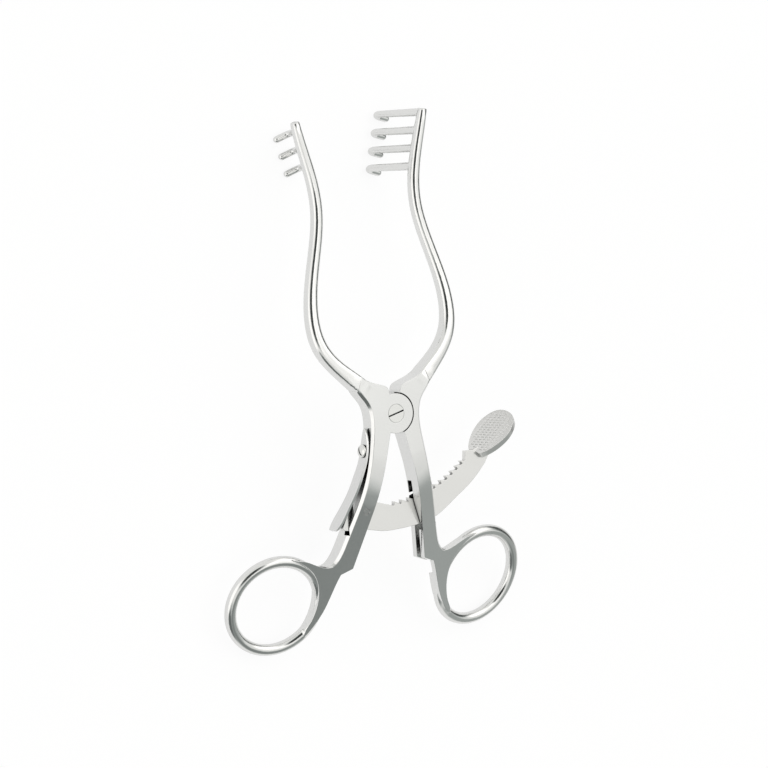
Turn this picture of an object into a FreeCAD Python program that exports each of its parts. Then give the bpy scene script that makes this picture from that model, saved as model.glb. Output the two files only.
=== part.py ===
import FreeCAD
import Part
import math
import os

from FreeCAD import Vector

# Self retaining retractor, 3 x 4 blunt prongs, lying with its prongs down.
# X runs to the right arm, Y to the prong ends, Z up out of the lap joint.
# The origin is on the joint screw's axis, in the flat upper face of the joint.

doc = FreeCAD.newDocument("retractor")

# Driving dimensions, in millimetres and degrees.
sheet = doc.addObject("Spreadsheet::Sheet", "Dimensions")
DIMENSIONS = {
    "arm_thick": 6.0,
    "lap_radius": 6.05,
    "lap_gap": 0.3,
    "face_gap": 0.02,
    "edge_bevel": 0.8,
    "bend_start": 13.5,
    "bend_radius": 48.0,
    "bend_angle": 20.8,
    "bend_heading": 20.0,
    "screw_head_radius": 2.8,
    "screw_head_depth": 1.5,
    "screw_shank_radius": 1.9,
    "rivet_radius": 2.5,
    "rivet_depth": 0.7,
    "screw_slot_width": 0.45,
    "screw_slot_depth": 0.9,
    "screw_slot_turn": 14.0,
    "running_gap": 0.05,
    "ring_x": 36.6,
    "ring_y": -55.0,
    "ring_radius": 14.6,
    "ring_wire": 1.8,
    "ring_inset": 2.1,
    "web_thick": 3.9,
    "prong_pitch": 5.45,
    "prong_first": 1.15,
    "prong_stagger": 2.6,
    "prong_radius": 1.1,
    "prong_lean": 27.0,
    "prong_sweep": 14.5,
    "prong_straight": 14.4,
    "prong_hook_radius": 2.2,
    "prong_hook_turn": 112.0,
    "prong_hook_sweep": 6.0,
    "prong_tip": 2.4,
    "pin_x": -10.9,
    "pin_y": -28.6,
    "pin_radius": 1.6,
    "pin_neck_radius": 0.95,
    "pin_shoulder": -5.2,
    "pin_sunk": 0.05,
    "pin_length": 18.0,
    "bar_top": -6.6,
    "bar_thick": 1.6,
    "slot_gap": 0.2,
    "slot_deep": 2.0,
    "upper_slot_inset": 3.65,
    "lower_slot_inset": 2.0,
    "catch_radius": 28.2,
    "catch_angle": 28.2,
    "tooth_pitch": 5.25,
    "tooth_height": 1.15,
    "catch_clearance": 0.2,
    "follow_ratio": 0.2,
    "pad_x": 38.9,
    "pad_y": -11.0,
    "pad_length": 17.0,
    "pad_width": 11.3,
    "pad_thick": 2.1,
    "pad_heading": 39.0,
    "pad_twist": 26.0,
    "leaf_thick": 0.9,
    "leaf_screw_y": -10.5,
    "leaf_screw_head": 1.95,
    "leaf_screw_dome": 1.2,
    "leaf_screw_shank": 0.8,
    "leaf_screw_reach": 3.2,
    "leaf_screw_rim": 0.85,
    "leaf_screw_slot": 0.6,
    "leaf_lift": 0.5,
    "leaf_play": 0.15,
    "leaf_span": 25.0,
    "leaf_reach": 40.0,
    "bore_length": 10.0,
    "column_height": 60.0,
    "slab_width": 160.0,
    "slab_reach": 75.0,
}
for row, (alias, value) in enumerate(DIMENSIONS.items(), start=1):
    sheet.set(f"A{row}", alias)
    sheet.set(f"B{row}", str(value))
    sheet.setAlias(f"B{row}", alias)
doc.recompute()


def size(alias):
    return float(sheet.get(alias))


def bind(obj, **links):
    for prop, formula in links.items():
        obj.setExpression(prop, formula)
    return obj


def outline_sketch(name, edges, placement=None):
    """A sketch that holds the given edges' curves."""
    sketch = doc.addObject("Sketcher::SketchObject", name)
    for edge in edges:
        sketch.addGeometry(edge, False)
    if placement:
        sketch.Placement = placement
    return sketch


def polyline(points):
    return [Part.LineSegment(Vector(*a), Vector(*b)) for a, b in zip(points, points[1:])]


def smooth_curve(points):
    curve = Part.BSplineCurve()
    curve.interpolate([Vector(*point) for point in points])
    return curve


def extrusion(name, sketch, direction, length, both=False):
    solid = doc.addObject("Part::Extrusion", name)
    solid.Base = sketch
    solid.DirMode = "Custom"
    solid.Dir = direction
    solid.Solid = True
    solid.Symmetric = both
    bind(solid, LengthFwd=length)
    return solid


def cylinder(name, radius, height, place):
    solid = doc.addObject("Part::Cylinder", name)
    bind(solid, Radius=radius, Height=height)
    solid.Placement = place
    return solid


def fuse(name, shapes):
    solid = doc.addObject("Part::MultiFuse", name)
    solid.Shapes = shapes
    return solid


def cut(name, base, tool):
    solid = doc.addObject("Part::Cut", name)
    solid.Base = base
    solid.Tool = tool
    return solid


def common(name, one, other):
    solid = doc.addObject("Part::MultiCommon", name)
    solid.Shapes = [one, other]
    return solid


def at(x, y, z):
    return FreeCAD.Placement(Vector(x, y, z), FreeCAD.Rotation())


def frame_placement(origin, x_axis, y_axis):
    """A placement whose local X and Y lie along the given unit vectors."""
    z_axis = x_axis.cross(y_axis)
    return FreeCAD.Placement(origin, FreeCAD.Rotation(x_axis, y_axis, z_axis, "ZXY"))


# The right arm's plan, from the lap joint to the lower end of its shank.
# The left arm's is its mirror image.
SHOULDER = [(1.9, 6.5), (2.1, 7.4), (2.75, 8.3), (4.2, 9.0), (7.0, 9.9), (9.8, 11.2), (11.4, 12.3)]
OUTER_SIDE = [(13.0, 7.7), (12.3, 6.7), (9.95, 3.6), (8.75, -1.5), (9.35, -8.0), (11.8, -20.0), (15.2, -32.0),
              (17.3, -39.0), (18.8, -42.6), (20.1, -44.1), (21.8, -44.6)]
SHANK_END = [(21.8, -44.6), (20.2, -47.6), (16.9, -47.7), (13.0, -46.2)]
INNER_SIDE = [(13.0, -46.2), (3.1, -8.0), (2.4, -5.4), (0.5, 1.0), (1.9, 6.5)]

# The web that joins the shank to its finger ring, as plan points.
WEB_OUTER = [(18.6, -44.3), (20.9, -44.9), (23.3, -44.5), (26.4, -43.2), (29.6, -41.9)]
WEB_TO_RING = [(29.6, -41.9), (33.0, -41.3)]
WEB_HOLE_SIDE = [(33.0, -41.3), (28.0, -44.3), (25.2, -47.4), (23.8, -50.7), (23.4, -53.5), (23.6, -56.9),
                 (24.7, -60.5), (26.6, -63.9)]
WEB_TO_INNER = [(26.6, -63.9), (26.5, -65.9)]
WEB_INNER = [(26.5, -65.9), (23.6, -62.8), (21.3, -59.0), (19.3, -54.0), (18.0, -50.4), (16.7, -47.5),
             (15.4, -45.6)]
WEB_CLOSE = [(15.4, -45.6), (18.6, -44.3)]

# Plan outlines are raised from this level to well above the joint.
COLUMN_FOOT = -45

# Stations along the upper arm: x, y, depth of its middle, width, thickness, corner radius.
LIMB_STATIONS = [
    (8.9, 7.1, 3.0, 4.6, 5.9, 0.8),
    (11.2, 9.55, 3.0, 4.7, 6.0, 0.8),
    (15.35, 13.25, 3.35, 4.6, 5.5, 1.25),
    (20.3, 18.3, 4.0, 4.4, 5.1, 1.6),
    (23.5, 24.6, 4.8, 4.4, 4.8, 1.8),
    (24.1, 32.2, 5.75, 4.1, 4.5, 1.8),
    (22.4, 42.0, 6.95, 3.8, 4.15, 1.75),
    (19.6, 52.0, 8.0, 3.65, 4.0, 1.7),
    (17.75, 62.0, 8.8, 3.55, 3.9, 1.65),
    (18.6, 72.5, 9.3, 3.4, 3.7, 1.55),
    (21.0, 82.0, 9.4, 3.15, 3.4, 1.4),
    (22.95, 89.8, 9.15, 2.7, 2.8, 1.1),
]


def mirror_points(points, side):
    return [(side * x, y, 0) for x, y in points]


def arch_slab(name, side, inset, thickness):
    """The space between the arm's bent front face and a face a thickness below it."""
    heading = math.radians(size("bend_heading"))
    bend = math.radians(size("bend_angle"))
    start = size("bend_start")
    outer = size("bend_radius")
    reach = size("slab_reach")
    along = Vector(side * math.sin(heading), -math.cos(heading), 0)
    place = frame_placement(Vector(0, 0, 0), along, Vector(0, 0, 1))

    def face(depth):
        radius = outer - depth
        low = Vector(start + radius * math.sin(bend), -depth - radius * (1 - math.cos(bend)), 0)
        mid = Vector(start + radius * math.sin(bend / 2), -depth - radius * (1 - math.cos(bend / 2)), 0)
        end = low + Vector(math.cos(bend), -math.sin(bend), 0) * reach
        return Vector(-30, -depth, 0), Vector(start, -depth, 0), mid, low, end

    top = face(inset)
    under = face(inset + thickness)
    edges = [
        Part.LineSegment(top[0], top[1]),
        Part.Arc(top[1], top[2], top[3]),
        Part.LineSegment(top[3], top[4]),
        Part.LineSegment(top[4], under[4]),
        Part.LineSegment(under[4], under[3]),
        Part.Arc(under[3], under[2], under[1]),
        Part.LineSegment(under[1], under[0]),
        Part.LineSegment(under[0], top[0]),
    ]
    sketch = outline_sketch(name + "_profile", edges, place)
    across = along.cross(Vector(0, 0, 1))
    return extrusion(name, sketch, across, "Dimensions.slab_width", both=True)


def handle_slope(x, y):
    """How far the front face has dropped over x, y, and its slope there."""
    heading = math.radians(size("bend_heading"))
    bend = math.radians(size("bend_angle"))
    radius = size("bend_radius")
    along = x * math.sin(heading) - y * math.cos(heading) - size("bend_start")
    if along <= 0:
        return 0.0, 0.0
    if along < radius * math.sin(bend):
        slope = math.asin(along / radius)
        return radius * (1 - math.cos(slope)), slope
    return radius * (1 - math.cos(bend)) + (along - radius * math.sin(bend)) * math.tan(bend), bend


def handle_point(side, x, y, inset):
    """The point of the handle that lies over x, y, a distance below its front face."""
    drop, slope = handle_slope(x, y)
    return Vector(side * x, y, -drop - inset / math.cos(slope))


def handle_normal(side):
    heading = math.radians(size("bend_heading"))
    bend = math.radians(size("bend_angle"))
    outward = Vector(side * math.sin(heading), -math.cos(heading), 0)
    return outward * math.sin(bend) + Vector(0, 0, math.cos(bend))


def rounded_section(center, across, up, width, height, radius):
    """A rounded rectangle wire about a centre."""
    half_w = width / 2
    half_h = height / 2
    turn = math.sqrt(0.5)

    def spot(u, v):
        return center + across * u + up * v

    edges = []
    corners = [(1, 1), (-1, 1), (-1, -1), (1, -1)]
    for index, (sx, sy) in enumerate(corners):
        mid_u = sx * (half_w - radius)
        mid_v = sy * (half_h - radius)
        on_side = spot(sx * half_w, mid_v)
        on_top = spot(mid_u, sy * half_h)
        middle = spot(mid_u + sx * radius * turn, mid_v + sy * radius * turn)
        first, last = (on_side, on_top) if index % 2 == 0 else (on_top, on_side)
        edges.append(Part.Arc(first, middle, last).toShape())
        next_x, next_y = corners[(index + 1) % 4]
        if index % 2 == 0:
            end = spot(next_x * (half_w - radius), next_y * half_h)
        else:
            end = spot(next_x * half_w, next_y * (half_h - radius))
        edges.append(Part.LineSegment(last, end).toShape())
    return Part.Wire(edges)


def limb_line(side):
    points = [Vector(side * x, y, -depth) for x, y, depth, _, _, _ in LIMB_STATIONS]
    line = Part.BSplineCurve()
    line.interpolate(points)
    return line, points


def upper_limb(name, side):
    """The polished upper arm, a loft through its stations."""
    line, points = limb_line(side)
    wires = []
    for point, (_, _, _, width, thick, radius) in zip(points, LIMB_STATIONS):
        heading = line.tangent(line.parameter(point))[0]
        across = heading.cross(Vector(0, 0, 1)).normalize()
        up = across.cross(heading).normalize()
        wires.append(rounded_section(point, across, up, width, thick, radius))
    limb = doc.addObject("Part::Feature", name)
    limb.Shape = Part.makeLoft(wires, True, False)
    return limb


def prong_set(name, side, count, first):
    """Blunt J shaped prongs, each a straight run, a hook and a round end."""
    line, points = limb_line(side)
    end = points[-1]
    heading = line.tangent(line.parameter(end))[0]
    flat = Vector(heading.x, heading.y, 0).normalize()
    inward = Vector(-side * flat.y, side * flat.x, 0)
    lean = math.radians(size("prong_lean"))
    sweep = math.radians(size("prong_sweep"))
    hook_sweep = math.radians(size("prong_hook_sweep"))
    turn = math.radians(size("prong_hook_turn"))
    hook = size("prong_hook_radius")
    radius = size("prong_radius")
    across_way = inward * math.cos(sweep) - flat * math.sin(sweep)
    run_way = across_way * math.sin(lean) + Vector(0, 0, -1) * math.cos(lean)
    back_way = inward * -math.cos(hook_sweep) - flat * math.sin(hook_sweep)
    side_way = (back_way - run_way * back_way.dot(run_way)).normalize()
    tip_way = side_way * math.sin(turn) + run_way * math.cos(turn)

    def on_hook(start, angle):
        return start + side_way * hook * (1 - math.cos(angle)) + run_way * hook * math.sin(angle)

    prongs = []
    for number in range(count):
        distance = first + number * size("prong_pitch")
        root = line.value(height_parameter(line, end.y - distance * flat.y))
        leave = root + run_way * size("prong_straight")
        stop = on_hook(leave, turn)
        tip = stop + tip_way * size("prong_tip")
        path = Part.Wire([
            Part.LineSegment(root, leave).toShape(),
            Part.Arc(leave, on_hook(leave, turn / 2), stop).toShape(),
            Part.LineSegment(stop, tip).toShape(),
        ])
        ring = Part.Wire([Part.Circle(root, run_way, radius).toShape()])
        pipe = path.makePipeShell([ring], True, True)
        ball = Part.makeSphere(radius, tip)
        prongs.append(pipe.fuse(ball))
    solid = doc.addObject("Part::Feature", name)
    solid.Shape = prongs[0].multiFuse(prongs[1:])
    return solid


def height_parameter(line, level):
    """The parameter at which a curve that only rises, or only falls, reaches a level in Y."""
    low, high = line.FirstParameter, line.LastParameter
    rising = line.value(high).y > line.value(low).y
    for _ in range(50):
        middle = (low + high) / 2
        if (line.value(middle).y < level) == rising:
            low = middle
        else:
            high = middle
    return (low + high) / 2


def finger_ring(name, side):
    ring = doc.addObject("Part::Torus", name)
    bind(ring, Radius1="Dimensions.ring_radius", Radius2="Dimensions.ring_wire")
    center = handle_point(side, size("ring_x"), size("ring_y"), size("ring_inset"))
    normal = handle_normal(side)
    outward = Vector(0, side, 0).cross(normal).normalize()
    ring.Placement = frame_placement(center, outward, normal.cross(outward))
    return ring


def side_curve(points, side):
    return smooth_curve(mirror_points(points, side))


def lapped(label, plate, disc_low, disc_high, clear_low, clear_high):
    """Gives a plate its half of the lap joint: a disc kept, and the other arm's disc cleared."""
    disc = cylinder(label + "_disc", "Dimensions.lap_radius", f"{disc_high - disc_low} mm", at(0, 0, disc_low))
    joined = fuse(label + "_with_disc", [plate, disc])
    clear_radius = "Dimensions.lap_radius + Dimensions.lap_gap"
    clear = cylinder(label + "_clear", clear_radius, f"{clear_high - clear_low} mm", at(0, 0, clear_low))
    return cut(label + "_lapped", joined, clear)


def bevelled(label, plate, side):
    """The plate with its long outer edges bevelled, front and back."""
    outer = side_curve(OUTER_SIDE, side).toShape()
    bevel = size("edge_bevel")
    edges = []
    for number, edge in enumerate(plate.Shape.Edges, start=1):
        middle = edge.valueAt((edge.FirstParameter + edge.LastParameter) / 2)
        rise = abs(edge.Vertexes[0].Z - edge.Vertexes[-1].Z)
        on_side = outer.distToShape(Part.Vertex(middle.x, middle.y, 0))[0] < 0.02
        if on_side and rise < edge.Length / 2:
            edges.append((number, bevel, bevel))
    chamfer = doc.addObject("Part::Chamfer", label + "_bevelled")
    chamfer.Base = plate
    chamfer.Edges = edges
    return chamfer


def arm_blank(label, side, prong_count, prong_start, lap_levels):
    """One forging: shank plate with its half of the lap, upper limb, prongs, web and finger ring."""
    edges = [side_curve(SHOULDER, side)]
    edges += polyline(mirror_points([SHOULDER[-1], OUTER_SIDE[0]], side))
    edges.append(side_curve(OUTER_SIDE, side))
    edges += polyline(mirror_points(SHANK_END, side))
    edges += polyline(mirror_points(INNER_SIDE, side))
    plan = outline_sketch(label + "_plan", edges, at(0, 0, COLUMN_FOOT))
    column = extrusion(label + "_plan_column", plan, Vector(0, 0, 1), "Dimensions.column_height")
    slab = arch_slab(label + "_slab", side, 0, size("arm_thick"))
    plate = common(label + "_plate", column, slab)
    doc.recompute()
    plate = lapped(label, bevelled(label, plate, side), *lap_levels)

    web_edges = [side_curve(WEB_OUTER, side)]
    web_edges += polyline(mirror_points(WEB_TO_RING, side))
    web_edges.append(side_curve(WEB_HOLE_SIDE, side))
    web_edges += polyline(mirror_points(WEB_TO_INNER, side))
    web_edges.append(side_curve(WEB_INNER, side))
    web_edges += polyline(mirror_points(WEB_CLOSE, side))
    web_plan = outline_sketch(label + "_web_plan", web_edges, at(0, 0, COLUMN_FOOT))
    web_column = extrusion(label + "_web_column", web_plan, Vector(0, 0, 1), "Dimensions.column_height")
    web_slab = arch_slab(label + "_web_slab", side, 0, size("web_thick"))
    web = common(label + "_web", web_column, web_slab)

    limb = upper_limb(label + "_limb", side)
    prongs = prong_set(label + "_prongs", side, prong_count, prong_start)
    ring = finger_ring(label + "_ring", side)
    return fuse(label + "_blank", [plate, limb, prongs, web, ring])


def prism(name, points, low, high):
    """A straight sided block between two levels, on a plan outline."""
    edges = polyline([(x, y, 0) for x, y in points + points[:1]])
    sketch = outline_sketch(name + "_plan", edges, at(0, 0, low))
    return extrusion(name, sketch, Vector(0, 0, 1), f"{high - low} mm")


def circle_point(radius, angle):
    """A point at an angle from the handles' side of the joint, turning towards the right arm."""
    turn = math.radians(angle)
    return Vector(radius * math.sin(turn), -radius * math.cos(turn), 0)


pin_spot = Vector(size("pin_x"), size("pin_y"), 0)


def bar_point(inset, angle):
    """Where the catch, moved outwards by inset, meets the bar with the arms at that angle."""
    swing = size("follow_ratio") * (size("catch_angle") - angle)
    arm = circle_point(size("catch_radius") + inset, angle) - pin_spot
    turned = FreeCAD.Rotation(Vector(0, 0, 1), swing).multVec(arm)
    return pin_spot + turned


thick = size("arm_thick")
half = thick / 2
face_gap = size("face_gap")
slot_low = size("bar_top") - size("bar_thick") - size("slot_gap")
slot_high = size("bar_top") + size("slot_gap")

# The right arm keeps the back half of the joint.
right_levels = (-thick, -half - face_gap, -half - face_gap, 1.0)
right_blank = arm_blank("right", 1, 4, size("prong_first"), right_levels)
bore_foot = at(0, 0, -thick - 2)
right_bore = cylinder("right_bore", "Dimensions.screw_shank_radius + Dimensions.running_gap",
                      "Dimensions.bore_length", bore_foot)
right_sink = doc.addObject("Part::Cone", "right_sink")
bind(right_sink, Radius1="Dimensions.rivet_radius + Dimensions.running_gap",
     Radius2="Dimensions.screw_shank_radius + Dimensions.running_gap", Height="Dimensions.rivet_depth")
right_sink.Placement = at(0, 0, -thick)

# Its slot lets the bar swing; the slot's slanted upper end meets the outer side in the catch.
catch = circle_point(size("catch_radius"), size("catch_angle"))
catch_land = 0.25
CATCH_TOP = [(catch.x - catch_land, catch.y), (catch.x + 4.0, catch.y)]
UPPER_SLOT = [(4.0, -20.1)] + CATCH_TOP + [(18.0, -30.0), (4.0, -30.0)]
BAR_SLOT = [(4.0, -25.8)] + CATCH_TOP + [(20.0, -34.0), (4.0, -39.4)]
LOWER_SLOT = [(4.0, -33.0), (20.0, -33.0), (20.0, -52.0), (4.0, -52.0)]
upper_slot = common("right_upper_slot", prism("right_upper_slot_column", UPPER_SLOT, -20, 5),
                    arch_slab("right_upper_slot_slab", 1, size("upper_slot_inset"), size("slot_deep")))
bar_slot = prism("right_bar_slot", BAR_SLOT, slot_low, slot_high)
lower_slot = common("right_lower_slot", prism("right_lower_slot_column", LOWER_SLOT, -25, 5),
                    arch_slab("right_lower_slot_slab", 1, size("lower_slot_inset"), size("slot_deep")))
right_tools = fuse("right_tools", [right_bore, right_sink, upper_slot, bar_slot, lower_slot])
right_arm = cut("right_arm", right_blank, right_tools)
right_arm.Label = "right_arm"

# The left arm keeps the front half, with the screw's counterbore.
left_levels = (-half + face_gap, 0, -thick - 1, -half + face_gap)
left_blank = arm_blank("left", -1, 3, size("prong_first") + size("prong_stagger"), left_levels)
left_bore = cylinder("left_bore", "Dimensions.screw_shank_radius", "Dimensions.bore_length", bore_foot)
left_head = cylinder("left_head", "Dimensions.screw_head_radius", "2 * Dimensions.screw_head_depth",
                     at(0, 0, -size("screw_head_depth")))
pin_foot = at(pin_spot.x, pin_spot.y, -size("pin_length"))
left_pin_bore = cylinder("left_pin_bore", "Dimensions.pin_radius + Dimensions.running_gap",
                         "Dimensions.pin_shoulder + Dimensions.pin_length + Dimensions.running_gap", pin_foot)
left_neck_bore = cylinder("left_neck_bore", "Dimensions.pin_neck_radius + Dimensions.running_gap",
                          "Dimensions.pin_length", pin_foot)
TAIL_SLOT = [(-2.0, -23.6), (-11.5, -23.6), (-20.0, -26.6), (-20.0, -34.6), (-11.0, -36.5), (-2.0, -36.9)]
tail_slot = prism("left_tail_slot", TAIL_SLOT, slot_low, slot_high)

# The leaf spring stands on the left arm's outer side, on one screw.
outer_curve = side_curve(OUTER_SIDE, -1)
screw_parameter = height_parameter(outer_curve, size("leaf_screw_y"))
screw_foot = outer_curve.value(screw_parameter) + Vector(0, 0, -half)
side_way = outer_curve.tangent(screw_parameter)[0]
if side_way.y > 0:
    side_way = side_way * -1
screw_out = Vector(side_way.y, -side_way.x, 0).normalize()
screw_place = frame_placement(screw_foot, side_way, screw_out.cross(side_way))
screw_hole_place = FreeCAD.Placement(screw_foot - screw_out * size("leaf_screw_reach"), screw_place.Rotation)
left_screw_bore = cylinder("left_screw_bore", "Dimensions.leaf_screw_shank", "Dimensions.leaf_screw_reach + 2",
                           screw_hole_place)
left_bores = [left_bore, left_head, left_pin_bore, left_neck_bore, left_screw_bore]
left_tools = fuse("left_tools", left_bores + [tail_slot])
left_arm = cut("left_arm", left_blank, left_tools)
left_arm.Label = "left_arm"


def turned_body(label, profile, top, slot_width, slot_depth, slot_turn):
    """A screw: a turned profile of radius and height, with a slot across its head."""
    body = doc.addObject("PartDesign::Body", label)
    planes = {feature.Role: feature for feature in body.Origin.OriginFeatures}
    section = body.newObject("Sketcher::SketchObject", label + "_section")
    section.AttachmentSupport = [(planes["XZ_Plane"], "")]
    section.MapMode = "FlatFace"
    for edge in profile:
        section.addGeometry(edge, False)
    turned = body.newObject("PartDesign::Revolution", label + "_turned")
    turned.Profile = section
    turned.ReferenceAxis = (section, ["V_Axis"])
    turned.Angle = 360
    doc.recompute()
    across = body.newObject("Sketcher::SketchObject", label + "_slot_plan")
    across.AttachmentSupport = [(planes["XY_Plane"], "")]
    across.MapMode = "FlatFace"
    across.AttachmentOffset = FreeCAD.Placement(Vector(0, 0, top), FreeCAD.Rotation(Vector(0, 0, 1), slot_turn))
    reach = 6.0
    side = size(slot_width) / 2
    for edge in polyline([(-reach, -side, 0), (reach, -side, 0), (reach, side, 0), (-reach, side, 0),
                          (-reach, -side, 0)]):
        across.addGeometry(edge, False)
    slot = body.newObject("PartDesign::Pocket", label + "_slot")
    slot.Profile = across
    bind(slot, Length="Dimensions." + slot_depth)
    body.Tip = slot
    return body


head = size("screw_head_radius")
shank = size("screw_shank_radius")
head_level = -size("screw_head_depth")
rivet_level = -thick + size("rivet_depth")
joint_screw = turned_body("joint_screw", polyline([
    (0, 0, 0), (head, 0, 0), (head, head_level, 0), (shank, head_level, 0), (shank, rivet_level, 0),
    (size("rivet_radius"), -thick, 0), (0, -thick, 0), (0, 0, 0),
]), 0, "screw_slot_width", "screw_slot_depth", size("screw_slot_turn"))

dome = size("leaf_screw_dome")
wide = size("leaf_screw_head")
thin = size("leaf_screw_shank")
under_head = size("leaf_thick") + size("leaf_lift")
crown = under_head + dome
rim = crown - size("leaf_screw_rim")
dome_radius = (wide ** 2 + (crown - rim) ** 2) / (2 * (crown - rim))
dome_turn = math.asin(wide / dome_radius) / 2
dome_middle = Vector(dome_radius * math.sin(dome_turn), crown - dome_radius * (1 - math.cos(dome_turn)), 0)
spring_screw = turned_body("spring_screw", [
    Part.LineSegment(Vector(0, -size("leaf_screw_reach"), 0), Vector(thin, -size("leaf_screw_reach"), 0)),
    Part.LineSegment(Vector(thin, -size("leaf_screw_reach"), 0), Vector(thin, under_head, 0)),
    Part.LineSegment(Vector(thin, under_head, 0), Vector(wide, under_head, 0)),
    Part.LineSegment(Vector(wide, under_head, 0), Vector(wide, rim, 0)),
    Part.Arc(Vector(wide, rim, 0), dome_middle, Vector(0, crown, 0)),
    Part.LineSegment(Vector(0, crown, 0), Vector(0, -size("leaf_screw_reach"), 0)),
], crown, "screw_slot_width", "leaf_screw_slot", 30)
spring_screw.Placement = screw_place

# The leaf spring, seen from the front and from the side.
LEAF_INNER = [(-9.2, -3.6), (-9.45, -7.0), (-9.98, -10.5), (-10.85, -13.9), (-12.3, -17.8), (-13.6, -21.6),
              (-15.8, -26.9), (-18.05, -32.0), (-19.0, -34.0)]
LEAF_WIDTHS = [(-3.6, 0.25), (-4.6, 0.75), (-6.5, 1.3), (-9.5, 1.75), (-14.0, 1.95), (-19.0, 2.2), (-28.0, 2.5),
               (-32.4, 2.5), (-33.6, 1.9), (-34.0, 0.8)]
inner = smooth_curve([(x, y, 0) for x, y in LEAF_INNER])
leaf = size("leaf_thick")
offset_points = []
for x, y in LEAF_INNER:
    way = inner.tangent(inner.parameter(Vector(x, y, 0)))[0]
    offset_points.append((x + way.y * leaf, y - way.x * leaf, 0))
outer = smooth_curve(offset_points)
leaf_plan = outline_sketch("leaf_plan", [
    inner,
    Part.LineSegment(inner.EndPoint, outer.EndPoint),
    outer,
    Part.LineSegment(outer.StartPoint, inner.StartPoint),
], at(0, 0, -20))
leaf_column = extrusion("leaf_column", leaf_plan, Vector(0, 0, 1), "Dimensions.leaf_span")


def leaf_edge(way):
    """The leaf's edge seen from the side: Y and Z, a half width from its middle."""
    points = []
    for y, half_width in LEAF_WIDTHS:
        drop, slope = handle_slope(-side_x(y), y)
        points.append(Vector(y, -drop - half / math.cos(slope) + way * half_width, 0))
    curve = Part.BSplineCurve()
    curve.interpolate(points)
    return curve


def side_x(y):
    """X of the leaf's inner face at a level, by straight runs between its points."""
    for (x0, y0), (x1, y1) in zip(LEAF_INNER, LEAF_INNER[1:]):
        if y >= y1:
            return x0 + (x1 - x0) * (y - y0) / (y1 - y0)
    return LEAF_INNER[-1][0]


front_edge = leaf_edge(1)
back_edge = leaf_edge(-1)
side_place = FreeCAD.Placement(Vector(-size("leaf_reach"), 0, 0),
                               FreeCAD.Rotation(Vector(0, 1, 0), Vector(0, 0, 1), Vector(1, 0, 0)))
leaf_side = outline_sketch("leaf_side", [
    front_edge,
    Part.LineSegment(front_edge.EndPoint, back_edge.EndPoint),
    back_edge,
    Part.LineSegment(back_edge.StartPoint, front_edge.StartPoint),
], side_place)
leaf_row = extrusion("leaf_row", leaf_side, Vector(1, 0, 0), "Dimensions.leaf_reach")
leaf_blank = common("leaf_blank", leaf_column, leaf_row)
leaf_hole = cylinder("leaf_hole", "Dimensions.leaf_screw_shank + Dimensions.leaf_play",
                     "4 * Dimensions.leaf_thick", screw_place)
leaf_spring = cut("leaf_spring", leaf_blank, leaf_hole)
leaf_spring.Label = "leaf_spring"

# The stepped pin that the ratchet bar turns on, flush with the sloping faces of the left arm.
pin_journal = cylinder("pin_journal", "Dimensions.pin_radius",
                       "Dimensions.pin_shoulder + Dimensions.pin_length", pin_foot)
pin_neck = cylinder("pin_neck", "Dimensions.pin_neck_radius", "Dimensions.pin_length", pin_foot)
pin_slab = arch_slab("pin_slab", -1, size("pin_sunk"), thick - 2 * size("pin_sunk"))
ratchet_pin = common("ratchet_pin", fuse("pin_rod", [pin_journal, pin_neck]), pin_slab)
ratchet_pin.Label = "ratchet_pin"

# The ratchet bar: a flat toothed bar that swings on the pin, with a thumb pad across its end.
pitch = size("tooth_pitch")
tip_inset = size("catch_clearance")
root_inset = tip_inset + size("tooth_height")
teeth_behind = 5
teeth_ahead = 6
land = 0.3
flank_foot = 0.5
flank_tip = 1.0
teeth = []
for number in range(-teeth_behind, teeth_ahead + 1):
    angle = size("catch_angle") + number * pitch
    teeth.append(bar_point(root_inset, angle - land))
    teeth.append(bar_point(root_inset, angle + flank_foot))
    teeth.append(bar_point(tip_inset, angle + flank_tip))
NECK = [(27.9, -18.1), (28.2, -15.2), (31.0, -15.2)]
TAIL = [(-4.4, -26.9), (-7.0, -25.75), (-10.2, -25.1), (-13.2, -26.2), (-15.6, -29.2), (-17.35, -32.4)]
TAIL_END = [(-17.35, -32.4), (-17.3, -33.6), (-16.2, -34.1)]
BAR_BELOW = [(-16.2, -34.1), (-12.0, -34.3), (-7.7, -34.85), (-3.45, -35.7), (2.0, -35.8), (8.2, -35.4),
             (16.5, -33.4), (23.1, -29.3), (29.65, -24.9), (33.6, -21.3), (35.4, -19.3)]
BAR_TO_PAD = [(35.4, -19.3), (37.9, -16.0), (41.0, -12.4), (42.2, -9.9)]
PAD_ROOT = [(42.2, -9.9), (34.5, -14.2), (31.0, -15.2)]
bar_edges = [Part.LineSegment(a, b) for a, b in zip(teeth, teeth[1:])]
bar_edges.append(Part.LineSegment(teeth[-1], Vector(*NECK[0], 0)))
bar_edges += polyline([(x, y, 0) for x, y in NECK])
bar_edges += polyline([(x, y, 0) for x, y in reversed(PAD_ROOT)])
bar_edges.append(smooth_curve([(x, y, 0) for x, y in reversed(BAR_TO_PAD)]))
bar_edges.append(smooth_curve([(x, y, 0) for x, y in reversed(BAR_BELOW)]))
bar_edges.append(smooth_curve([(x, y, 0) for x, y in reversed(TAIL_END)]))
bar_edges.append(smooth_curve([(x, y, 0) for x, y in reversed(TAIL)]))
bar_edges.append(Part.LineSegment(Vector(*TAIL[0], 0), teeth[0]))
bar_level = size("bar_top") - size("bar_thick")
bar_plan = outline_sketch("bar_plan", bar_edges, at(0, 0, bar_level))
bar_plate = extrusion("bar_plate", bar_plan, Vector(0, 0, 1), "Dimensions.bar_thick")
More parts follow.
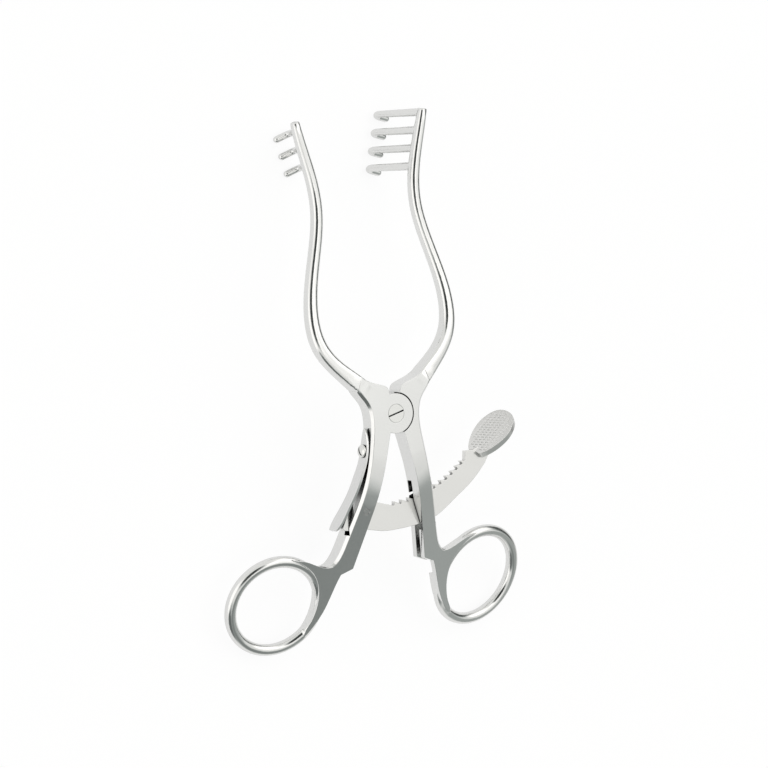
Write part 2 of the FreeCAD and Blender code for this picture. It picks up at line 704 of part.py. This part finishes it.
bar_bore = cylinder("bar_bore", "Dimensions.pin_radius + Dimensions.running_gap", "3 * Dimensions.bar_thick",
                    at(pin_spot.x, pin_spot.y, bar_level - size("bar_thick")))
bored_bar = cut("bored_bar", bar_plate, bar_bore)

heading = math.radians(size("pad_heading"))
twist = math.radians(size("pad_twist"))
pad_along = Vector(math.cos(heading), math.sin(heading), 0)
pad_across = Vector(-math.sin(heading), math.cos(heading), 0) * math.sin(twist) + Vector(0, 0, -math.cos(twist))
pad_normal = pad_along.cross(pad_across)
pad_center = Vector(size("pad_x"), size("pad_y"), bar_level + size("bar_thick") / 2)
# Half of the pad's egg outline, in parts of its half length and half width.
EGG = [(-1.0, 0.42), (-0.72, 0.7), (-0.3, 0.93), (0.15, 1.0), (0.6, 0.84), (0.9, 0.5), (1.0, 0.0)]
half_length = size("pad_length") / 2
half_width = size("pad_width") / 2
egg = [(u * half_length, v * half_width, 0) for u, v in EGG]
egg += [(u, -v, w) for u, v, w in reversed(egg[:-1])]
pad_edge = smooth_curve(egg)
pad_back = Part.LineSegment(pad_edge.EndPoint, pad_edge.StartPoint)
pad_under = pad_center - pad_normal * size("pad_thick") / 2
pad_plan = outline_sketch("pad_plan", [pad_edge, pad_back], frame_placement(pad_under, pad_along, pad_across))
pad_plate = extrusion("pad_plate", pad_plan, pad_normal, "Dimensions.pad_thick")
ratchet_bar = fuse("ratchet_bar", [bored_bar, pad_plate])
ratchet_bar.Label = "ratchet_bar"

PIECES = [left_arm, right_arm, joint_screw, ratchet_bar, ratchet_pin, leaf_spring, spring_screw]
doc.recompute()
faults = [item.Name for item in doc.Objects if "Invalid" in item.State or "Error" in item.State]
for piece in PIECES:
    if piece.Shape.isNull() or not piece.Shape.isValid():
        faults.append(piece.Label + " shape")
    else:
        print(piece.Label, "volume", round(piece.Shape.Volume, 2), "solids", len(piece.Shape.Solids))
if faults:
    raise RuntimeError("failed: " + ", ".join(faults))
os.makedirs("parts", exist_ok=True)
for piece in PIECES:
    piece.Shape.exportStep(f"parts/{piece.Label}.step")
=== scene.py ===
import bmesh
import bpy
import math
from mathutils import Matrix, Vector
from mathutils.bvhtree import BVHTree


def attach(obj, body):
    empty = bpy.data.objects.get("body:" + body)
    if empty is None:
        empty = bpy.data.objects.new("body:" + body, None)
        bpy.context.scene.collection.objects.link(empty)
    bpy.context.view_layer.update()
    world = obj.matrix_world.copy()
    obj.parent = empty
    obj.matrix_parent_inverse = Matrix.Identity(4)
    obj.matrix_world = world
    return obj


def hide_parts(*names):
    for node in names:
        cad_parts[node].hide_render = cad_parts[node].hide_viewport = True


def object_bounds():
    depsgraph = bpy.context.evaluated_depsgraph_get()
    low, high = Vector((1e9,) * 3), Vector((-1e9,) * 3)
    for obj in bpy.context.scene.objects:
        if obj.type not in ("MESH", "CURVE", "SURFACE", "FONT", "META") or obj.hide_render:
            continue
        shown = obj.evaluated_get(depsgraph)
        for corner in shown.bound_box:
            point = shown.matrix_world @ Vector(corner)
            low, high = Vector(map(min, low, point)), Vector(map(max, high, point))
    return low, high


mm = 0.001
toMetres = Matrix.Scale(mm, 4)
toMillimetres = Matrix.Scale(1 / mm, 4)

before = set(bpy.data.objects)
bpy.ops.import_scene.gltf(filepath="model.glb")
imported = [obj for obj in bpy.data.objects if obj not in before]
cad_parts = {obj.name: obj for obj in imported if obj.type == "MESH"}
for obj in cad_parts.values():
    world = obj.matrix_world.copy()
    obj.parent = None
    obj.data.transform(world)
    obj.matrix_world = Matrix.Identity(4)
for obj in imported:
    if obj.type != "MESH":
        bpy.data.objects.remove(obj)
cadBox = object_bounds()
print("frame loaded:", ", ".join(sorted(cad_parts)))

# The view, worked out from the photograph: unit vectors to its right, up and towards the camera.
view = {
    "right": (0.8326, -0.0694, 0.5494),
    "up": (0.1153, 0.9921, -0.0495),
    "back": (-0.5417, 0.1045, 0.8341),
    "distance": 2000 * mm,
    "slideRight": -3.69 * mm,
    "slideUp": 8.92 * mm,
    "lens": 312.2,
    "sensor": 36,
    "clipEnd": 20,
}


def addCamera():
    right, up, back = (Vector(view[key]) for key in ("right", "up", "back"))
    camera = bpy.data.cameras.new("viewCamera")
    camera.lens = view["lens"]
    camera.sensor_width = view["sensor"]
    camera.clip_end = view["clipEnd"]
    holder = bpy.data.objects.new("viewCamera", camera)
    place = back * view["distance"] + right * view["slideRight"] + up * view["slideUp"]
    turn = Matrix((right, up, back)).transposed().to_4x4()
    holder.matrix_world = Matrix.Translation(place) @ turn
    bpy.context.scene.collection.objects.link(holder)
    bpy.context.scene.camera = holder


addCamera()
bpy.context.scene.view_settings.view_transform = "Standard"
print("camera placed")


# Short forms for nodes, which the room, the floor, the steels and the knurl share.
def newNodes(tree):
    tree.nodes.clear()

    def add(kind, **values):
        node = tree.nodes.new(kind)
        for key, value in values.items():
            setattr(node, key, value)
        return node

    return add, tree.links.new


def feed(link, socket, value):  # another node's output is linked, and a plain value is set
    if isinstance(value, bpy.types.NodeSocket):
        link(value, socket)
    else:
        socket.default_value = value


def mathNode(add, link, operation, first, second, clamp=False):
    node = add("ShaderNodeMath", operation=operation, use_clamp=clamp)
    feed(link, node.inputs[0], first)
    feed(link, node.inputs[1], second)
    return node.outputs[0]


def mixNode(add, link, kind, share, first, second):
    node = add("ShaderNodeMix", data_type=kind)
    link(share, node.inputs["Factor"])
    feed(link, node.inputs["A"], first)
    feed(link, node.inputs["B"], second)
    return node.outputs["Result"]


def fadeNode(add, link, value, start, end, low=0.0, high=1.0):  # low before start, high after end
    node = add("ShaderNodeMapRange", interpolation_type="SMOOTHSTEP")
    link(value, node.inputs["Value"])
    for key, number in (("From Min", start), ("From Max", end), ("To Min", low), ("To Max", high)):
        node.inputs[key].default_value = number
    return node.outputs["Result"]


def noiseNode(add, link, coordinate, scale, detail):
    node = add("ShaderNodeTexNoise")
    node.inputs["Scale"].default_value = scale
    node.inputs["Detail"].default_value = detail
    link(coordinate, node.inputs["Vector"])
    return node.outputs["Fac"]


def mixShaders(add, link, share, first, second, output):
    mix = add("ShaderNodeMixShader")
    link(share, mix.inputs["Fac"])
    link(first.outputs[0], mix.inputs[1])
    link(second.outputs[0], mix.inputs[2])
    link(mix.outputs[0], add(output).inputs["Surface"])


# Surroundings: a room of one pale level, with shades laid over it, the later over the earlier. Each has a
# direction, its level, and the cosines between which it fades in and is whole. A level of 0 takes the
# dark tint, 1 and above take the light one, and the levels between them take a mixture.
room = {"level": 0.88, "dark": (0.90, 1.00, 0.965, 1), "light": (1.00, 0.99, 0.97, 1)}
shades = {
    "ceiling": ((-0.10, 0.15, 1.00), 1.35, (0.90, 0.985)),
    "leftLight": ((-0.95, -0.10, 0.15), 1.30, (0.70, 0.95)),
    "handleWall": ((0.25, -0.80, 0.55), 0.25, (0.80, 0.99)),
    "outerWall": ((-0.49, -0.79, 0.35), 0.16, (0.87, 0.97)),
    "frontWall": ((0.75, -0.60, 0.30), 0.40, (0.84, 0.97)),
    "rightWall": ((0.95, 0.30, 0.00), 0.08, (0.78, 0.93)),
    "prongLight": ((0.54, 0.50, 0.67), 1.30, (0.86, 0.97)),
    "cameraCard": ((-0.42, 0.22, 0.88), 0.04, (0.88, 0.96)),
}


def towards(add, link, coordinate, direction, start, end):  # 0 to 1 as the way looked in nears the direction
    dot = add("ShaderNodeVectorMath", operation="DOT_PRODUCT")
    link(coordinate, dot.inputs[0])
    dot.inputs[1].default_value = Vector(direction).normalized()
    return fadeNode(add, link, dot.outputs["Value"], start, end)


def buildRoom():
    world = bpy.data.worlds.new("whiteRoom")
    bpy.context.scene.world = world
    world.use_nodes = True
    add, link = newNodes(world.node_tree)
    coordinate = add("ShaderNodeTexCoord").outputs["Generated"]
    level = room["level"]
    for direction, shade, edges in shades.values():
        near = towards(add, link, coordinate, direction, *edges)
        level = mixNode(add, link, "FLOAT", near, level, shade)
    tint = mixNode(add, link, "RGBA", level, room["dark"], room["light"])
    surroundings = add("ShaderNodeBackground")
    link(tint, surroundings.inputs["Color"])
    link(level, surroundings.inputs["Strength"])
    plainWhite = add("ShaderNodeBackground")
    plainWhite.inputs["Color"].default_value = (1, 1, 1, 1)
    seen = add("ShaderNodeLightPath").outputs["Is Camera Ray"]
    mixShaders(add, link, seen, surroundings, plainWhite, "ShaderNodeOutputWorld")


# The floor is white paper. Part of it glows, for the camera and for the metal, and the rest takes the
# object's shadow. What the metal sees of the glow dims out to the right, from dimFrom to dimTo.
floorPaper = {
    "reach": 3.0,
    "color": 0.86,
    "glow": 1.06,
    "cameraShare": 0.85,
    "metalShare": 0.62,
    "dim": 0.15,
    "dimFrom": 70 * mm,
    "dimTo": 160 * mm,
}


def makePaper():
    material = bpy.data.materials.new("floorWhite")
    material.use_nodes = True
    add, link = newNodes(material.node_tree)
    ray = add("ShaderNodeLightPath").outputs
    toCamera = mathNode(add, link, "MULTIPLY", ray["Is Camera Ray"], floorPaper["cameraShare"])
    toMetal = mathNode(add, link, "MULTIPLY", ray["Is Glossy Ray"], floorPaper["metalShare"])
    share = mathNode(add, link, "ADD", toCamera, toMetal, clamp=True)
    paper = add("ShaderNodeBsdfDiffuse")
    paper.inputs["Color"].default_value = (floorPaper["color"],) * 3 + (1,)
    place = add("ShaderNodeSeparateXYZ")
    link(add("ShaderNodeTexCoord").outputs["Object"], place.inputs[0])
    dimming = fadeNode(add, link, place.outputs["X"], floorPaper["dimFrom"], floorPaper["dimTo"],
                       floorPaper["glow"], floorPaper["dim"])
    strength = mixNode(add, link, "FLOAT", ray["Is Camera Ray"], dimming, floorPaper["glow"])
    glow = add("ShaderNodeEmission")
    link(strength, glow.inputs["Strength"])
    mixShaders(add, link, share, paper, glow, "ShaderNodeOutputMaterial")
    return material


def addFloor():
    level = cadBox[0][2]
    reach = floorPaper["reach"]
    sides = ((-1, -1), (1, -1), (1, 1), (-1, 1))
    mesh = bpy.data.meshes.new("floor")
    mesh.from_pydata([(x * reach, y * reach, level) for x, y in sides], [], [(0, 1, 2, 3)])
    mesh.materials.append(makePaper())
    floor = bpy.data.objects.new("floor", mesh)
    bpy.context.scene.collection.objects.link(floor)


softLamp = {"place": (0.50, 0.35, 0.95), "size": 1.0, "watts": 0.6}


def addLamp():
    lamp = bpy.data.lights.new("softLamp", "AREA")
    lamp.size = softLamp["size"]
    lamp.energy = softLamp["watts"]
    holder = bpy.data.objects.new("softLamp", lamp)
    holder.location = softLamp["place"]
    holder.rotation_euler = (-Vector(softLamp["place"])).to_track_quat("-Z", "Y").to_euler()
    bpy.context.scene.collection.objects.link(holder)


buildRoom()
addFloor()
addLamp()
print("room, floor and lamp placed")

# Steel, in the finishes that the pieces have: its fine grain moves the roughness by spread either way.
steels = {
    "arm": {"color": (0.80, 0.80, 0.79), "roughness": 0.16, "spread": 0.05, "grain": 900, "bump": 0.02},
    "bar": {"color": (0.80, 0.795, 0.78), "roughness": 0.22, "spread": 0.08, "grain": 1400, "bump": 0.04},
    "screw": {"color": (0.80, 0.80, 0.78), "roughness": 0.20, "spread": 0.06, "grain": 1200, "bump": 0.02},
    "knurl": {"color": (0.80, 0.795, 0.78), "roughness": 0.24, "spread": 0.06, "grain": 1400, "bump": 0.03},
    "leaf": {"color": (0.78, 0.78, 0.775), "roughness": 0.20, "spread": 0.06, "grain": 1200, "bump": 0.03},
}
clouding = {"scale": 60, "detail": 4, "darker": 0.965, "lighter": 1.03}
fineGrain = {"detail": 3, "depth": 0.02 * mm}
# Painted shade: the steel's colour goes dark in gaps and hollows, with the reach, samples, dark colour and
# fade given here.
cornerShade = {"reach": 2.5 * mm, "samples": 8, "dark": (0.05, 0.055, 0.055, 1), "from": 0.20, "to": 0.80}


def paintedCornerShade(add, link, color):  # paints shade into the steel's colour in gaps and hollows, where the room hardly reaches
    openness = add("ShaderNodeAmbientOcclusion", samples=cornerShade["samples"])
    openness.inputs["Distance"].default_value = cornerShade["reach"]
    lit = fadeNode(add, link, openness.outputs["AO"], cornerShade["from"], cornerShade["to"])
    return mixNode(add, link, "RGBA", lit, cornerShade["dark"], color)


def makeSteel(name):
    values = steels[name]
    darker = tuple(value * clouding["darker"] for value in values["color"]) + (1,)
    lighter = tuple(min(1, value * clouding["lighter"]) for value in values["color"]) + (1,)
    material = bpy.data.materials.new(name + "Steel")
    material.use_nodes = True
    add, link = newNodes(material.node_tree)
    shader = add("ShaderNodeBsdfPrincipled")
    shader.inputs["Metallic"].default_value = 1.0
    coordinate = add("ShaderNodeTexCoord").outputs["Object"]
    cloud = noiseNode(add, link, coordinate, clouding["scale"], clouding["detail"])
    color = mixNode(add, link, "RGBA", cloud, darker, lighter)
    # The base colour carries painted shade in gaps and hollows.
    link(paintedCornerShade(add, link, color), shader.inputs["Base Color"])
    fine = noiseNode(add, link, coordinate, values["grain"], fineGrain["detail"])
    rough = add("ShaderNodeMapRange")
    link(fine, rough.inputs["Value"])
    rough.inputs["To Min"].default_value = values["roughness"] - values["spread"]
    rough.inputs["To Max"].default_value = values["roughness"] + values["spread"]
    link(rough.outputs["Result"], shader.inputs["Roughness"])
    bump = add("ShaderNodeBump")
    bump.inputs["Strength"].default_value = values["bump"]
    bump.inputs["Distance"].default_value = fineGrain["depth"]
    link(fine, bump.inputs["Height"])
    link(bump.outputs["Normal"], shader.inputs["Normal"])
    link(shader.outputs[0], add("ShaderNodeOutputMaterial").inputs["Surface"])
    return material


steel = {name: makeSteel(name) for name in steels}
print("steels made:", ", ".join(steel))

# The pieces are worked in millimetres and degrees. Corners closer than join become one, and faces that
# turn by less than flat become one.
weld = {"join": 0.0005, "flat": 0.05}

# Edges sharper than angle are broken in so many steps. A corner further than stray from the shape goes
# back onto it, and an arm's faces larger than flatArea stay flat to the light.
polish = {"angle": 35, "steps": 2, "weight": 60, "stray": 0.06, "flatArea": 6.0}

# Each arm's limb and prongs, and its ring, shine like one even skin. The skin takes over along the arm,
# from limbFrom to limbTo and from ringFrom to ringTo.
skin = {
    "nodes": ("left_arm", "right_arm"),
    "voxel": 0.28,
    "smooth": 8,
    "limbFrom": 10.0,
    "limbTo": 12.0,
    "ringFrom": -58.0,
    "ringTo": -62.0,
}


def workMesh(node):  # a welded copy of a CAD node's mesh in millimetres, its flat faces whole again
    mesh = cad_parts[node].data.copy()
    mesh.materials.clear()
    mesh.transform(toMillimetres)
    shape = bmesh.new()
    shape.from_mesh(mesh)
    bmesh.ops.remove_doubles(shape, verts=shape.verts, dist=weld["join"])
    flat = math.radians(weld["flat"])
    bmesh.ops.dissolve_limit(shape, angle_limit=flat, verts=shape.verts, edges=shape.edges)
    shape.to_mesh(mesh)
    shape.free()
    return mesh


def newPiece(name, mesh):
    mesh.name = name
    piece = bpy.data.objects.new(name, mesh)
    bpy.context.scene.collection.objects.link(piece)
    return piece


def applyModifiers(piece, place=Matrix()):  # makes the modified shape the piece's own mesh, in its place
    evaluated = piece.evaluated_get(bpy.context.evaluated_depsgraph_get())
    mesh = bpy.data.meshes.new_from_object(evaluated)
    mesh.name = piece.name
    mesh.transform(place)
    piece.modifiers.clear()
    piece.data = mesh


def surfaceOf(mesh):
    corners = [vertex.co for vertex in mesh.vertices]
    return BVHTree.FromPolygons(corners, [face.vertices for face in mesh.polygons])


def breakEdges(piece, width):
    bevel = piece.modifiers.new("brokenEdges", "BEVEL")
    bevel.width = width
    bevel.segments = polish["steps"]
    bevel.limit_method = "ANGLE"
    bevel.angle_limit = math.radians(polish["angle"])
    bevel.use_clamp_overlap = False


def pullIn(piece, surface):  # puts back any corner that breaking the edges threw off the shape
    for vertex in piece.data.vertices:
        near, _, _, away = surface.find_nearest(vertex.co)
        if away > polish["stray"]:
            vertex.co = near


def skinShare(y):  # how far the skin has taken over at this place along the arm
    limb = (y - skin["limbFrom"]) / (skin["limbTo"] - skin["limbFrom"])
    ring = (skin["ringFrom"] - y) / (skin["ringFrom"] - skin["ringTo"])
    return max(0.0, min(1.0, max(limb, ring)))


def evenSkin(piece):  # lays a fine even skin over an arm and gives the arm its places and smooth normals
    helper = newPiece("evenSkin", piece.data.copy())
    even = helper.modifiers.new("even", "REMESH")
    even.mode = "VOXEL"
    even.voxel_size = skin["voxel"]
    even.use_smooth_shade = True
    soft = helper.modifiers.new("soft", "SMOOTH")
    soft.iterations = skin["smooth"]
    group = piece.vertex_groups.new(name="polishedRound")
    for vertex in piece.data.vertices:
        group.add([vertex.index], skinShare(vertex.co.y), "REPLACE")
    wrap = piece.modifiers.new("ontoSkin", "SHRINKWRAP")
    wrap.target = helper
    wrap.vertex_group = group.name
    take = piece.modifiers.new("skinNormals", "DATA_TRANSFER")
    take.object = helper
    take.use_loop_data = True
    take.data_types_loops = {"CUSTOM_NORMAL"}
    take.loop_mapping = "POLYINTERP_NEAREST"
    take.vertex_group = group.name
    return helper


def keepFlats(mesh):  # the large flat faces stay flat to the light right up to their edges
    normals = [Vector(normal.vector) for normal in mesh.corner_normals]
    for face in mesh.polygons:
        if face.area > polish["flatArea"] * mm * mm:
            for index in face.loop_indices:
                normals[index] = face.normal.copy()
    mesh.normals_split_custom_set(normals)


def polishedPiece(name, node, body, finish, slot, edge):
    piece = newPiece(name, workMesh(node))
    piece.data.materials.append(steel[finish])
    piece.data.shade_smooth()
    surface = surfaceOf(piece.data)
    breakEdges(piece, edge)
    applyModifiers(piece)
    pullIn(piece, surface)
    flats = piece.modifiers.new("flatFaces", "WEIGHTED_NORMAL")
    flats.weight = polish["weight"]
    if node in skin["nodes"]:
        helper = evenSkin(piece)
        applyModifiers(piece, toMetres)
        bpy.data.objects.remove(helper)
        keepFlats(piece.data)
    else:
        applyModifiers(piece, toMetres)
    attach(piece, body)
    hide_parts(node)
    print(name, "faces:", len(piece.data.polygons))


# Each piece's node, body, finish and slot, and the width of its broken edges.
pieces = {
    "leftArm": ("left_arm", "left_side", "arm", "arm_steel", 0.12),
    "rightArm": ("right_arm", "right_side", "arm", "arm_steel", 0.12),
    "jointScrew": ("joint_screw", "left_side", "screw", "screw_steel", 0.06),
    "springScrew": ("spring_screw", "left_side", "screw", "screw_steel", 0.05),
    "ratchetBar": ("ratchet_bar", "ratchet", "bar", "bar_steel", 0.12),
    "ratchetPin": ("ratchet_pin", "bar_pivot", "bar", "bar_steel", 0.12),
    "leafSpring": ("leaf_spring", "spring", "leaf", "spring_steel", 0.10),
}
for name, values in pieces.items():
    polishedPiece(name, *values)

# The cross-cut knurl on the thumb pad's upper face, in millimetres and degrees.
knurl = {
    "heading": 39.0,  # of the pad's long way, seen from above
    "twist": 26.0,  # of its short way, from straight down
    "facing": 0.999,  # least cosine between the pad's face and the way it is taken to look
    "rim": 1.15,  # left smooth
    "sink": 0.02,  # of the points into the pad
    "alongPitch": 1.03,
    "acrossPitch": 2.43,
    "height": 0.12,
    "sides": 4,
    "top": 0.30,  # of a point's width at its foot
    "cover": 0.94,  # of the pitch that a point's foot takes
    "count": 44,  # of rows each way, more than the pad has room for
}


def padPlace():  # turns the pad's own axes into the frame's: along, across and out of its upper face
    heading = math.radians(knurl["heading"])
    twist = math.radians(knurl["twist"])
    along = Vector((math.cos(heading), math.sin(heading), 0))
    across = Vector((-math.sin(heading), math.cos(heading), 0)) * math.sin(twist)
    across -= Vector((0, 0, math.cos(twist)))
    return Matrix((along, across, along.cross(across))).transposed()


def padField():  # the pad's upper face, less its smooth rim, laid flat; and the place that it came from
    turn = padPlace()
    outward = turn.col[2]
    mesh = workMesh("ratchet_bar")
    facing = [face for face in mesh.polygons if face.normal.dot(outward) > knurl["facing"]]
    upper = max(facing, key=lambda face: face.area)
    corners = [mesh.vertices[index].co for index in upper.vertices]
    middle = sum(corners, Vector()) / len(corners)
    shape = bmesh.new()
    outline = []
    for corner in corners:
        spot = (turn.transposed() @ (corner - middle)).xy
        outline.append(shape.verts.new((spot * (1 - knurl["rim"] / spot.length)).to_3d()))
    shape.faces.new(outline)
    flat = bpy.data.meshes.new("knurlField")
    shape.to_mesh(flat)
    shape.free()
    return flat, Matrix.Translation(middle - outward * knurl["sink"]) @ turn.to_4x4()


def knurlTree(material):
    tree = bpy.data.node_groups.new("knurlCuts", "GeometryNodeTree")
    sockets = tree.interface
    sockets.new_socket("Geometry", in_out="INPUT", socket_type="NodeSocketGeometry")
    inputs = {}
    for key in ("alongPitch", "acrossPitch", "height", "top", "cover"):
        inputs[key] = sockets.new_socket(key, in_out="INPUT", socket_type="NodeSocketFloat").identifier
    for key in ("count", "sides"):
        inputs[key] = sockets.new_socket(key, in_out="INPUT", socket_type="NodeSocketInt").identifier
    sockets.new_socket("Geometry", in_out="OUTPUT", socket_type="NodeSocketGeometry")
    add, link = newNodes(tree)
    given = add("NodeGroupInput").outputs

    # A lattice of spots, one between each two cuts either way.
    grid = add("GeometryNodeMeshGrid")
    reach = mathNode(add, link, "SUBTRACT", given["count"], 1.0)
    for socket in ("Size X", "Size Y"):
        link(reach, grid.inputs[socket])
    for socket in ("Vertices X", "Vertices Y"):
        link(given["count"], grid.inputs[socket])
    spot = add("ShaderNodeSeparateXYZ")
    link(add("GeometryNodeInputPosition").outputs[0], spot.inputs[0])
    halfAlong = mathNode(add, link, "MULTIPLY", given["alongPitch"], 0.5)
    halfAcross = mathNode(add, link, "MULTIPLY", given["acrossPitch"], 0.5)
    together = mathNode(add, link, "ADD", spot.outputs["X"], spot.outputs["Y"])
    apart = mathNode(add, link, "SUBTRACT", spot.outputs["X"], spot.outputs["Y"])
    crossed = add("ShaderNodeCombineXYZ")
    link(mathNode(add, link, "MULTIPLY", together, halfAlong), crossed.inputs["X"])
    link(mathNode(add, link, "MULTIPLY", apart, halfAcross), crossed.inputs["Y"])
    lattice = add("GeometryNodeSetPosition")
    link(grid.outputs["Mesh"], lattice.inputs["Geometry"])
    link(crossed.outputs[0], lattice.inputs["Position"])

    # Only the spots over the pad's field stay.
    above = add("ShaderNodeVectorMath", operation="ADD")
    link(add("GeometryNodeInputPosition").outputs[0], above.inputs[0])
    above.inputs[1].default_value = (0, 0, 1)
    ray = add("GeometryNodeRaycast")
    link(given["Geometry"], ray.inputs["Target Geometry"])
    link(above.outputs[0], ray.inputs["Source Position"])
    outside = add("FunctionNodeBooleanMath", operation="NOT")
    link(ray.outputs["Is Hit"], outside.inputs[0])
    onPad = add("GeometryNodeDeleteGeometry")
    link(lattice.outputs[0], onPad.inputs["Geometry"])
    link(outside.outputs[0], onPad.inputs["Selection"])

    # A blunt point stands on each.
    point = add("GeometryNodeMeshCone")
    point.inputs["Depth"].default_value = 1
    link(given["sides"], point.inputs["Vertices"])
    link(given["top"], point.inputs["Radius Top"])
    size = add("ShaderNodeCombineXYZ")
    link(mathNode(add, link, "MULTIPLY", halfAlong, given["cover"]), size.inputs["X"])
    link(mathNode(add, link, "MULTIPLY", halfAcross, given["cover"]), size.inputs["Y"])
    link(given["height"], size.inputs["Z"])
    points = add("GeometryNodeInstanceOnPoints")
    link(onPad.outputs[0], points.inputs["Points"])
    link(point.outputs["Mesh"], points.inputs["Instance"])
    link(size.outputs[0], points.inputs["Scale"])
    real = add("GeometryNodeRealizeInstances")
    link(points.outputs[0], real.inputs[0])
    finish = add("GeometryNodeSetMaterial")
    finish.inputs["Material"].default_value = material
    link(real.outputs[0], finish.inputs["Geometry"])
    link(finish.outputs[0], add("NodeGroupOutput").inputs["Geometry"])
    return tree, inputs


def addKnurl():
    flat, place = padField()
    piece = newPiece("padKnurl", flat)
    tree, inputs = knurlTree(steel["knurl"])
    cuts = piece.modifiers.new("knurlCuts", "NODES")
    cuts.node_group = tree
    for key, identifier in inputs.items():
        cuts[identifier] = knurl[key]
    applyModifiers(piece, toMetres @ place)
    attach(piece, "ratchet")
    print("padKnurl faces:", len(piece.data.polygons))


addKnurl()
